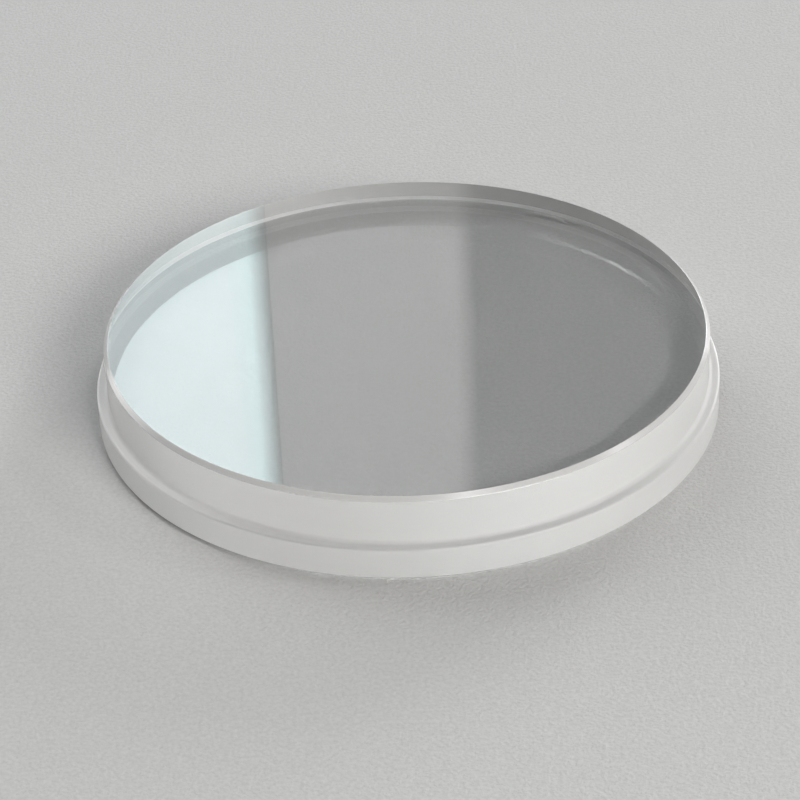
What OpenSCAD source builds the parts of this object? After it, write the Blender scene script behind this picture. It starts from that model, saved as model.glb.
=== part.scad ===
// Flat watch crystal with a stepped edge: one lens, ground from a single disc of clear sapphire.
// The upper body stands up through the bezel opening. The wider flange below it sits in the case.
// Origin: centre of the bottom face. +Z points out of the watch, towards the wearer.

/* [Lens] */

// Overall diameter, across the outer wall of the flange
flange_d = 31.5; // [24:0.1:40]

// Overall thickness, from the bottom face to the top face
thickness = 4.3; // [3.2:0.05:6]

/* [Step] */

// Height of the ledge above the bottom face
ledge_h = 1.8; // [1:0.05:2.4]

// How far the flange stands out past the wall of the upper body
ledge_w = 0.55; // [0.4:0.01:1.5]

// Radius ground into the corner between the ledge and the upper wall
corner_r = 0.2; // [0.05:0.01:0.24]

// Radius that breaks the outer edge of the ledge
ledge_edge_r = 0.12; // [0.04:0.01:0.15]

/* [Edges] */

// Width and height of the 45 degree bevel round the top face
top_bevel = 0.2; // [0.05:0.01:0.45]

// Width and height of the 45 degree bevel round the bottom face
bottom_bevel = 0.25; // [0.05:0.01:0.45]

/* [Hidden] */

// Number of facets round the lens in a preview
lens_fn = 360;

// Number of facets round each small edge radius in a preview
edge_fn = 48;

flange_r = flange_d / 2;

upper_r = flange_r - ledge_w;

glass_color = [0.86, 0.92, 0.94, 0.45];

// Half section of the plain stepped disc, with its two bevels
module stepped_section() {
    polygon([
        [0, 0],
        [flange_r - bottom_bevel, 0],
        [flange_r, bottom_bevel],
        [flange_r, ledge_h],
        [upper_r, ledge_h],
        [upper_r, thickness - top_bevel],
        [upper_r - top_bevel, thickness],
        [0, thickness]
    ]);
}

// Glass left in the corner where the ledge meets the upper wall
module corner_fillet() {
    translate([upper_r, ledge_h])
        difference() {
            square([corner_r, corner_r]);
            translate([corner_r, corner_r])
                circle(r = corner_r, $fn = edge_fn);
        }
}

// Glass taken off the outer edge of the ledge
module ledge_edge_cut() {
    translate([flange_r - ledge_edge_r, ledge_h - ledge_edge_r])
        difference() {
            square([ledge_edge_r, ledge_edge_r]);
            circle(r = ledge_edge_r, $fn = edge_fn);
        }
}

// The whole lens: clear polished top and bottom faces, and a finely ground edge all round
module crystal() {
    color(glass_color)
        rotate_extrude($fn = lens_fn)
            difference() {
                union() {
                    stepped_section();
                    corner_fillet();
                }
                ledge_edge_cut();
            }
}

crystal();
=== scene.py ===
"""Flat sapphire watch crystal: a stepped lens with polished faces and ground edges, on a pale sweep."""
import math

import bmesh
import bpy
from mathutils import Matrix, Vector


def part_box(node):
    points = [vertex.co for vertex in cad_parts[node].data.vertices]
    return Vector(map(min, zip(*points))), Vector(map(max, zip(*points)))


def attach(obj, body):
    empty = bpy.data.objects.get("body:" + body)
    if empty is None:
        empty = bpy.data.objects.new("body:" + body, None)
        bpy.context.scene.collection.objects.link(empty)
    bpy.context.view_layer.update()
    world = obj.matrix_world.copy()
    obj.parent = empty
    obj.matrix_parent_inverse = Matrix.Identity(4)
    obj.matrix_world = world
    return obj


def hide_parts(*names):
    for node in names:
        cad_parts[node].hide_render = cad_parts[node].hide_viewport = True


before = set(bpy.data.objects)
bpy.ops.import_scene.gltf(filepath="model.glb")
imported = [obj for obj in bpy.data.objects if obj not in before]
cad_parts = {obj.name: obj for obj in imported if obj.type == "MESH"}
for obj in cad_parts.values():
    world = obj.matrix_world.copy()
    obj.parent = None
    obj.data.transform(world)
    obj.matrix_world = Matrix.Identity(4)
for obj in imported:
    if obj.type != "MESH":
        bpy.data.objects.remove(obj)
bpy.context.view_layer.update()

MM = 0.001
TURN = 2 * math.pi

# ---------------------------------------------------------------- sizes, in millimetres, as in the CAD model
LEDGE_W = 0.55
LEDGE_H = 1.8
LEDGE_EDGE_R = 0.12
CORNER_R = 0.2
TOP_BEVEL = 0.2
BOTTOM_BEVEL = 0.25
BREAK_R = 0.035  # the tiny round left where a bevel meets its neighbour; the CAD edge is sharp there

lo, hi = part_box("crystal")
THICK = (hi[2] - lo[2]) / MM
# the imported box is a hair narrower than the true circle
FLANGE_R = min(hi[0] - lo[0], hi[1] - lo[1]) / 2 / MM
UPPER_R = FLANGE_R - LEDGE_W
AXIS = ((lo[0] + hi[0]) / 2, (lo[1] + hi[1]) / 2)
BASE = lo[2]

# ---------------------------------------------------------------- mesh
SEGMENTS = 512  # round the axis
BREAK_STEPS = 5  # along a tiny round
ROUND_STEPS = 12  # along the ledge's two rounds
RING_SPACING = 1.9  # the most between two rings of a flat face, in millimetres
EVEN_RATIO = 1.6  # neighbours in the section closer in length than this belong to one round
ON_AXIS = 1e-9  # a ring of less than this radius is one point

POLISHED, WALL, LEDGE, BEVEL, EDGE, LIP = range(6)


def rounded(before, corner, after, radius, steps):
    """Points of a round of this radius where two straight lines of the section meet."""
    a = (Vector(before) - Vector(corner)).normalized()
    b = (Vector(after) - Vector(corner)).normalized()
    half = math.acos(max(-1.0, min(1.0, a.dot(b)))) / 2
    cut = radius / math.tan(half)
    start, end = Vector(corner) + a * cut, Vector(corner) + b * cut
    centre = Vector(corner) + (a + b).normalized() * (radius / math.sin(half))
    u, v = start - centre, end - centre
    turn = math.atan2(u.x * v.y - u.y * v.x, u.dot(v))
    points = []
    for i in range(steps + 1):
        t = turn * i / steps
        spoke = (u.x * math.cos(t) - u.y * math.sin(t), u.x * math.sin(t) + u.y * math.cos(t))
        points.append((centre.x + spoke[0], centre.y + spoke[1]))
    return points


def section():
    """The section from top centre to bottom centre: (radius, height, finish of the band that follows)."""
    # each corner: (radius, height), its round, the round's steps, the round's finish, the finish after it
    corners = [
        ((0.0, THICK), None, 0, POLISHED, POLISHED),
        ((UPPER_R - TOP_BEVEL, THICK), BREAK_R, BREAK_STEPS, EDGE, BEVEL),
        ((UPPER_R, THICK - TOP_BEVEL), BREAK_R, BREAK_STEPS, EDGE, WALL),
        ((UPPER_R, LEDGE_H), CORNER_R, ROUND_STEPS, LEDGE, LEDGE),
        ((FLANGE_R, LEDGE_H), LEDGE_EDGE_R, ROUND_STEPS, LIP, WALL),
        ((FLANGE_R, BOTTOM_BEVEL), BREAK_R, BREAK_STEPS, LIP, LEDGE),
        ((FLANGE_R - BOTTOM_BEVEL, 0.0), BREAK_R, BREAK_STEPS, LIP, POLISHED),
        ((0.0, 0.0), None, 0, POLISHED, POLISHED),
    ]
    points = []
    for i, (corner, radius, steps, skin, finish) in enumerate(corners):
        if radius is None:
            points.append((*corner, finish))
            continue
        arc = rounded(corners[i - 1][0], corner, corners[i + 1][0], radius, steps)
        points += [(r, z, skin) for r, z in arc[:-1]]
        points.append((*arc[-1], finish))
    return points


def with_rings(points, most):
    """The section with long bands cut into shorter ones, so that no face is a long sliver."""
    out = []
    for (r0, z0, skin), (r1, z1, _) in zip(points, points[1:]):
        n = max(1, math.ceil(math.hypot(r1 - r0, z1 - z0) / most))
        out += [(r0 + (r1 - r0) * k / n, z0 + (z1 - z0) * k / n, skin) for k in range(n)]
    return out + [points[-1]]


def outward(points):
    """The section's true normal at each point. Every round is tangent to its neighbours, so there is one."""
    normals = []
    for i in range(len(points)):
        steps = []
        for a, b in ((i - 1, i), (i, i + 1)):
            if 0 <= a and b < len(points):
                step = Vector((points[b][0] - points[a][0], points[b][1] - points[a][1]))
                steps.append((step.length, Vector((-step.y, step.x)).normalized()))
        long, short = max(steps, key=lambda s: s[0]), min(steps, key=lambda s: s[0])
        even = long[0] < EVEN_RATIO * short[0]
        normals.append((long[1] + short[1]).normalized() if even else long[1])
    return normals


def lathe(name, points, segments):
    """The section turned round the axis, with its true normals and a material index for each band."""
    bm = bmesh.new()
    rings = []
    for r, z, _ in points:
        z = BASE + z * MM
        if r < ON_AXIS:
            rings.append([bm.verts.new((*AXIS, z))])
        else:
            rings.append([
                bm.verts.new((AXIS[0] + r * MM * math.cos(TURN * k / segments),
                              AXIS[1] + r * MM * math.sin(TURN * k / segments), z))
                for k in range(segments)
            ])
    for (_, _, skin), upper, lower in zip(points, rings, rings[1:]):
        for k in range(segments):
            n = (k + 1) % segments
            if len(upper) == 1:
                loop = (upper[0], lower[k], lower[n])
            elif len(lower) == 1:
                loop = (upper[n], upper[k], lower[0])
            else:
                loop = (upper[n], upper[k], lower[k], lower[n])
            face = bm.faces.new(loop)
            face.material_index = skin
            face.smooth = True
    mesh = bpy.data.meshes.new(name)
    bm.to_mesh(mesh)
    bm.free()
    normals = []
    for (r, _, _), normal in zip(points, outward(points)):
        for k in range(1 if r < ON_AXIS else segments):
            t = TURN * k / segments
            normals.append((normal.x * math.cos(t), normal.x * math.sin(t), normal.y))
    mesh.normals_split_custom_set_from_vertices(normals)
    piece = bpy.data.objects.new(name, mesh)
    bpy.context.scene.collection.objects.link(piece)
    return piece


# ---------------------------------------------------------------- materials
SAPPHIRE_IOR = 1.77
CLEAR_TINT = (0.99, 0.995, 0.994, 1.0)
GROUND_TINT = (0.90, 0.895, 0.885, 1.0)
GROUND_DARKER = 0.965  # the darker of the ground faces' two tints, as a share of the lighter
HAZE_ROUGHNESS = 0.035  # of the polished faces where they are smeared most
WAVE_HEIGHT = 2.0e-7  # of the polished faces' waviness, in metres
RADIAL_SHARE = 0.6  # how fast the wheel's rings change across a flat face, as a share of their pace up a wall
GRIT_SHARE, RING_SHARE, PATCH_SHARE = 0.45, 0.3, 0.25  # of the pattern in a ground face's tint and roughness

# name, roughness from and to, heights of the grain and of the wheel's rings in metres, transmission
GROUND = {
    WALL: ("sapphire_ground_wall", (0.58, 0.72), 1.3e-5, 6.0e-6, 0.62),
    LEDGE: ("sapphire_ground_ledge", (0.66, 0.78), 1.1e-5, 5.0e-6, 0.62),
    BEVEL: ("sapphire_ground_bevel", (0.17, 0.25), 1.0e-7, 1.0e-7, 0.5),
    EDGE: ("sapphire_broken_edge", (0.22, 0.3), 2.0e-7, 2.0e-7, 0.5),
    LIP: ("sapphire_ledge_lip", (0.5, 0.6), 1.5e-6, 8.0e-7, 0.62),
}


class Nodes:
    """A short way to write one material's nodes."""

    def __init__(self, name):
        self.mat = bpy.data.materials.new(name)
        self.mat.use_nodes = True
        self.tree = self.mat.node_tree
        self.shader = self.tree.nodes["Principled BSDF"]

    def put(self, socket, value):
        if isinstance(value, bpy.types.NodeSocket):
            self.tree.links.new(value, socket)
        else:
            socket.default_value = value

    def add(self, kind, values, **settings):
        node = self.tree.nodes.new(kind)
        for key, value in settings.items():
            setattr(node, key, value)
        for key, value in values.items():
            self.put(node.inputs[key], value)
        return node

    def math(self, operation, a, b=0.0):
        return self.add("ShaderNodeMath", {0: a, 1: b}, operation=operation).outputs[0]

    def place(self):
        return self.add("ShaderNodeTexCoord", {}).outputs["Object"]

    def noise(self, vector, scale, detail=2.0, rough=0.5, distortion=0.0):
        return self.add("ShaderNodeTexNoise", {
            "Vector": vector, "Scale": scale, "Detail": detail, "Roughness": rough, "Distortion": distortion,
        }).outputs["Fac"]

    def ranged(self, value, given, wanted=(0.0, 1.0)):
        """The value, with the given range mapped to the wanted one and held inside it."""
        return self.add("ShaderNodeMapRange", {
            "Value": value,
            "From Min": given[0], "From Max": given[1], "To Min": wanted[0], "To Max": wanted[1],
        }).outputs["Result"]

    def bump(self, height, distance, normal=None):
        values = {"Height": height, "Distance": distance, "Strength": 1.0}
        if normal is not None:
            values["Normal"] = normal
        return self.add("ShaderNodeBump", values).outputs["Normal"]

    def tint(self, value, given, colour, darker):
        """A colour that goes from a darker share of itself to full over the given range of the value."""
        node = self.add("ShaderNodeMix", {"Factor": self.ranged(value, given)}, data_type="RGBA")
        node.inputs["A"].default_value = [c * darker for c in colour[:3]] + [1.0]
        node.inputs["B"].default_value = colour
        return node.outputs["Result"]

    def turned(self, along, across):
        """Coordinates for marks left by a part turning on its axis: slow round it, fast along its section."""
        x, y, z = self.add("ShaderNodeSeparateXYZ", {0: self.place()}).outputs
        radius = self.math("SQRT", self.math("ADD", self.math("MULTIPLY", x, x), self.math("MULTIPLY", y, y)))
        path = self.math("ADD", z, self.math("MULTIPLY", radius, RADIAL_SHARE))
        return self.add("ShaderNodeCombineXYZ", {
            0: self.math("MULTIPLY", x, along),
            1: self.math("MULTIPLY", y, along),
            2: self.math("MULTIPLY", path, across),
        }).outputs[0]

    def into(self, **sockets):
        for key, value in sockets.items():
            self.put(self.shader.inputs[key.replace("_", " ")], value)


def polished():
    """Lapped and polished faces: a faint waviness, and a breath of smear in the gloss."""
    n = Nodes("sapphire_polished")
    place = n.place()
    smear = n.noise(place, scale=130.0, detail=4.0, rough=0.6, distortion=1.5)
    fine = n.noise(place, scale=2600.0)
    haze = n.math("MULTIPLY", n.ranged(smear, (0.5, 0.8)), n.ranged(fine, (0.4, 0.8), (0.4, 1.0)))
    n.into(
        Base_Color=CLEAR_TINT,
        Transmission_Weight=1.0,
        IOR=SAPPHIRE_IOR,
        Roughness=n.ranged(haze, (0.0, 1.0), (0.0, HAZE_ROUGHNESS)),
        Normal=n.bump(n.noise(place, scale=160.0, detail=1.0), WAVE_HEIGHT),
    )
    return n.mat


def ground(name, roughness, grain, lines, clear):
    """Ground with a fine wheel: satin, with a tight grain, faint rings of the wheel and smoother patches."""
    n = Nodes(name)
    grit = n.noise(n.place(), scale=16000.0, detail=3.0, rough=0.65)
    rings = n.noise(n.turned(along=55.0, across=21000.0), scale=1.0, detail=3.0, rough=0.7)
    patch = n.noise(n.turned(along=140.0, across=1400.0), scale=1.0, detail=3.0, rough=0.6)
    marks = n.math("ADD", n.math("MULTIPLY", rings, RING_SHARE), n.math("MULTIPLY", patch, PATCH_SHARE))
    mix = n.math("ADD", n.math("MULTIPLY", grit, GRIT_SHARE), marks)
    n.into(
        Base_Color=n.tint(mix, (0.35, 0.65), GROUND_TINT, GROUND_DARKER),
        Transmission_Weight=clear,
        IOR=SAPPHIRE_IOR,
        Roughness=n.ranged(mix, (0.3, 0.7), roughness),
        Normal=n.bump(rings, lines, normal=n.bump(grit, grain)),
    )
    return n.mat


crystal = lathe("crystal_lens", with_rings(section(), RING_SPACING), SEGMENTS)
crystal.data.materials.append(polished())
for finish in (WALL, LEDGE, BEVEL, EDGE, LIP):
    crystal.data.materials.append(ground(*GROUND[finish]))
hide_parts("crystal")
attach(crystal, "root")

# ---------------------------------------------------------------- floor, in metres
FLOOR_GAP = 0.03 * MM  # keeps the floor off the lens's bottom face
FLOOR_COLOUR = (0.45, 0.449, 0.445, 1.0)
FLOOR_DARKER = 0.86  # the darker of the paper's two tints, as a share of the lighter
FLOOR_HALF = 1.6  # to the sides and towards the camera
FLOOR_NEAR = 0.1  # from the middle to the edge of the small face that the part stands on
FLOOR_BEND_Y = 0.62  # where the sheet starts to curve up
FLOOR_BEND_R = 0.35
FLOOR_BEND_STEPS = 16
FLOOR_TOP = 0.75  # where the upright stretch ends
PAPER_ROUGHNESS = 0.85
TOOTH_HEIGHT = 6.0e-5  # of the paper's grain


def sweep():
    """A seamless pale sheet, flat under the part and curving up far behind it."""
    run = [(-FLOOR_HALF, 0.0), (-FLOOR_NEAR, 0.0), (FLOOR_NEAR, 0.0), (FLOOR_BEND_Y, 0.0)]
    for i in range(1, FLOOR_BEND_STEPS + 1):
        t = math.radians(90) * i / FLOOR_BEND_STEPS
        run.append((FLOOR_BEND_Y + FLOOR_BEND_R * math.sin(t), FLOOR_BEND_R * (1 - math.cos(t))))
    run.append((FLOOR_BEND_Y + FLOOR_BEND_R, FLOOR_TOP))
    across = (-FLOOR_HALF, -FLOOR_NEAR, FLOOR_NEAR, FLOOR_HALF)
    bm = bmesh.new()
    rows = [[bm.verts.new((x, y, BASE - FLOOR_GAP + z)) for x in across] for y, z in run]
    for a, b in zip(rows, rows[1:]):
        for k in range(len(across) - 1):
            bm.faces.new((a[k], a[k + 1], b[k + 1], b[k])).smooth = True
    mesh = bpy.data.meshes.new("sweep")
    bm.to_mesh(mesh)
    bm.free()
    piece = bpy.data.objects.new("sweep", mesh)
    bpy.context.scene.collection.objects.link(piece)
    n = Nodes("matte_paper")
    tooth = n.noise(n.place(), scale=5200.0, detail=4.0, rough=0.6)
    n.into(
        Base_Color=n.tint(tooth, (0.3, 0.7), FLOOR_COLOUR, FLOOR_DARKER),
        Roughness=PAPER_ROUGHNESS,
        Normal=n.bump(tooth, TOOTH_HEIGHT),
    )
    mesh.materials.append(n.mat)
    return piece


sweep()

# ---------------------------------------------------------------- light, in metres
PART = (0.0, 0.0, 0.0)
BACK = 0.30  # the softbox stands upright this far behind the part, so its edge mirrors as a straight line
SOFT_LEFT, SOFT_RIGHT, SOFT_LOW, SOFT_HIGH = -1.0, -0.0245, 0.04, 0.78
SOFT_RADIANCE = 5.2
# (place across the softbox from its right edge, colour): its edge fades through a cool tint within a few mm
SOFT_FADE = [
    (0.0, (0.01, 0.02, 0.02)), (0.0012, (0.13, 0.23, 0.22)), (0.003, (0.32, 0.45, 0.45)),
    (0.0047, (0.415, 0.49, 0.50)), (0.0354, (0.42, 0.49, 0.505)), (0.1, (0.55, 0.56, 0.56)),
    (0.3, (0.7, 0.7, 0.7)), (0.5, (0.6, 0.6, 0.6)), (0.8, (0.25, 0.25, 0.25)),
]
CARD_X, CARD_HEIGHT, CARD_SIZE = -0.008, 0.195, (0.042, 0.30)  # a dim card beside the softbox
CARD_FADE = [
    (0.0, (0.0, 0.0, 0.0)), (0.09, (0.97, 0.96, 0.94)), (0.89, (1.0, 1.0, 0.99)), (0.99, (0.0, 0.0, 0.0)),
]
WORLD_COLOUR = (0.05, 0.05, 0.05, 1.0)


def area(name, at, towards, size, radiance, colour=(1.0, 1.0, 1.0)):
    """A flat lamp, set by how bright its face is, so that its size and its brightness are separate."""
    light = bpy.data.lights.new(name, "AREA")
    light.shape = "RECTANGLE"
    light.size, light.size_y = size
    light.energy = radiance * math.pi * size[0] * size[1]
    light.color = colour
    lamp = bpy.data.objects.new(name, light)
    bpy.context.scene.collection.objects.link(lamp)
    lamp.location = at
    lamp.rotation_euler = (Vector(towards) - Vector(at)).to_track_quat("-Z", "Y").to_euler()
    return lamp


def faded(lamp, stops):
    """Fades a lamp across its width. stops: (place from 0 to 1, colour)."""
    light = lamp.data
    light.use_nodes = True
    tree = light.node_tree
    emission = next(x for x in tree.nodes if x.type == "EMISSION")
    across = tree.nodes.new("ShaderNodeNewGeometry").outputs["Parametric"]
    split = tree.nodes.new("ShaderNodeSeparateXYZ")
    ramp = tree.nodes.new("ShaderNodeValToRGB")
    tree.links.new(across, split.inputs[0])
    tree.links.new(split.outputs[0], ramp.inputs[0])
    tree.links.new(ramp.outputs[0], emission.inputs["Color"])
    elements = ramp.color_ramp.elements
    while len(elements) < len(stops):
        elements.new(0.5)
    for element, (place, colour) in zip(elements, stops):
        element.position = place
        element.color = (*colour, 1.0)


middle = ((SOFT_LEFT + SOFT_RIGHT) / 2, BACK, (SOFT_LOW + SOFT_HIGH) / 2)
soft_size = (SOFT_RIGHT - SOFT_LEFT, SOFT_HIGH - SOFT_LOW)
faded(area("softbox", middle, (middle[0], 0.0, middle[2]), soft_size, SOFT_RADIANCE), SOFT_FADE)
card_at, card_towards = (CARD_X, BACK, CARD_HEIGHT), (CARD_X, -1.0, CARD_HEIGHT)
faded(area("card", card_at, card_towards, CARD_SIZE, radiance=0.62), CARD_FADE)
area("key", (0.235, -0.385, 0.24), PART, (0.28, 0.14), radiance=24.0, colour=(1.0, 0.985, 0.965))
area("glint_right", (0.39, 0.0, 0.32), PART, (0.07, 0.05), radiance=22.0)
area("rear_right", (0.24, 0.34, 0.10), PART, (0.16, 0.12), radiance=20.0)
area("glint_front", (0.118, -0.24, 0.42), PART, (0.07, 0.05), radiance=20.0)

world = bpy.data.worlds.new("studio")
world.use_nodes = True
world.node_tree.nodes["Background"].inputs["Color"].default_value = WORLD_COLOUR
bpy.context.scene.world = world
bpy.context.scene.view_settings.view_transform = "Standard"
bpy.context.scene.cycles.blur_glossy = 0.0  # or the floor under clear glass loses half its light

# ---------------------------------------------------------------- camera
CAM_ELEVATION = 31.37  # degrees above the top face
CAM_DISTANCE = 132.25 * MM  # from the middle of the top face
CAM_PAN, CAM_TILT, CAM_ROLL = -0.194, -1.644, 2.12  # degrees off the line to that middle
CAM_LENS, CAM_SENSOR = 118.385, 36.0
CAM_NEAR, CAM_FAR = 0.005, 10.0


def turn(axis, degrees):
    c, s = math.cos(math.radians(degrees)), math.sin(math.radians(degrees))
    return Matrix({
        "pan": ((c, 0, -s), (0, 1, 0), (s, 0, c)),
        "tilt": ((1, 0, 0), (0, c, -s), (0, s, c)),
        "roll": ((c, -s, 0), (s, c, 0), (0, 0, 1)),
    }[axis])


cam = bpy.data.cameras.new("camera")
cam.sensor_width = CAM_SENSOR
cam.lens = CAM_LENS
cam.clip_start, cam.clip_end = CAM_NEAR, CAM_FAR
camera = bpy.data.objects.new("camera", cam)
bpy.context.scene.collection.objects.link(camera)
elevation = math.radians(CAM_ELEVATION)
target = Vector((*AXIS, BASE + THICK * MM))
back = Vector((0.0, -math.cos(elevation), math.sin(elevation)))
right = Vector((1.0, 0.0, 0.0))
look = Matrix((right, right.cross(-back), -back))  # rows: right, up, forward
look = turn("roll", CAM_ROLL) @ turn("tilt", CAM_TILT) @ turn("pan", CAM_PAN) @ look
camera_axes = Matrix((look[0], look[1], -look[2])).transposed()
camera.matrix_world = Matrix.Translation(target + back * CAM_DISTANCE) @ camera_axes.to_4x4()
bpy.context.scene.camera = camera
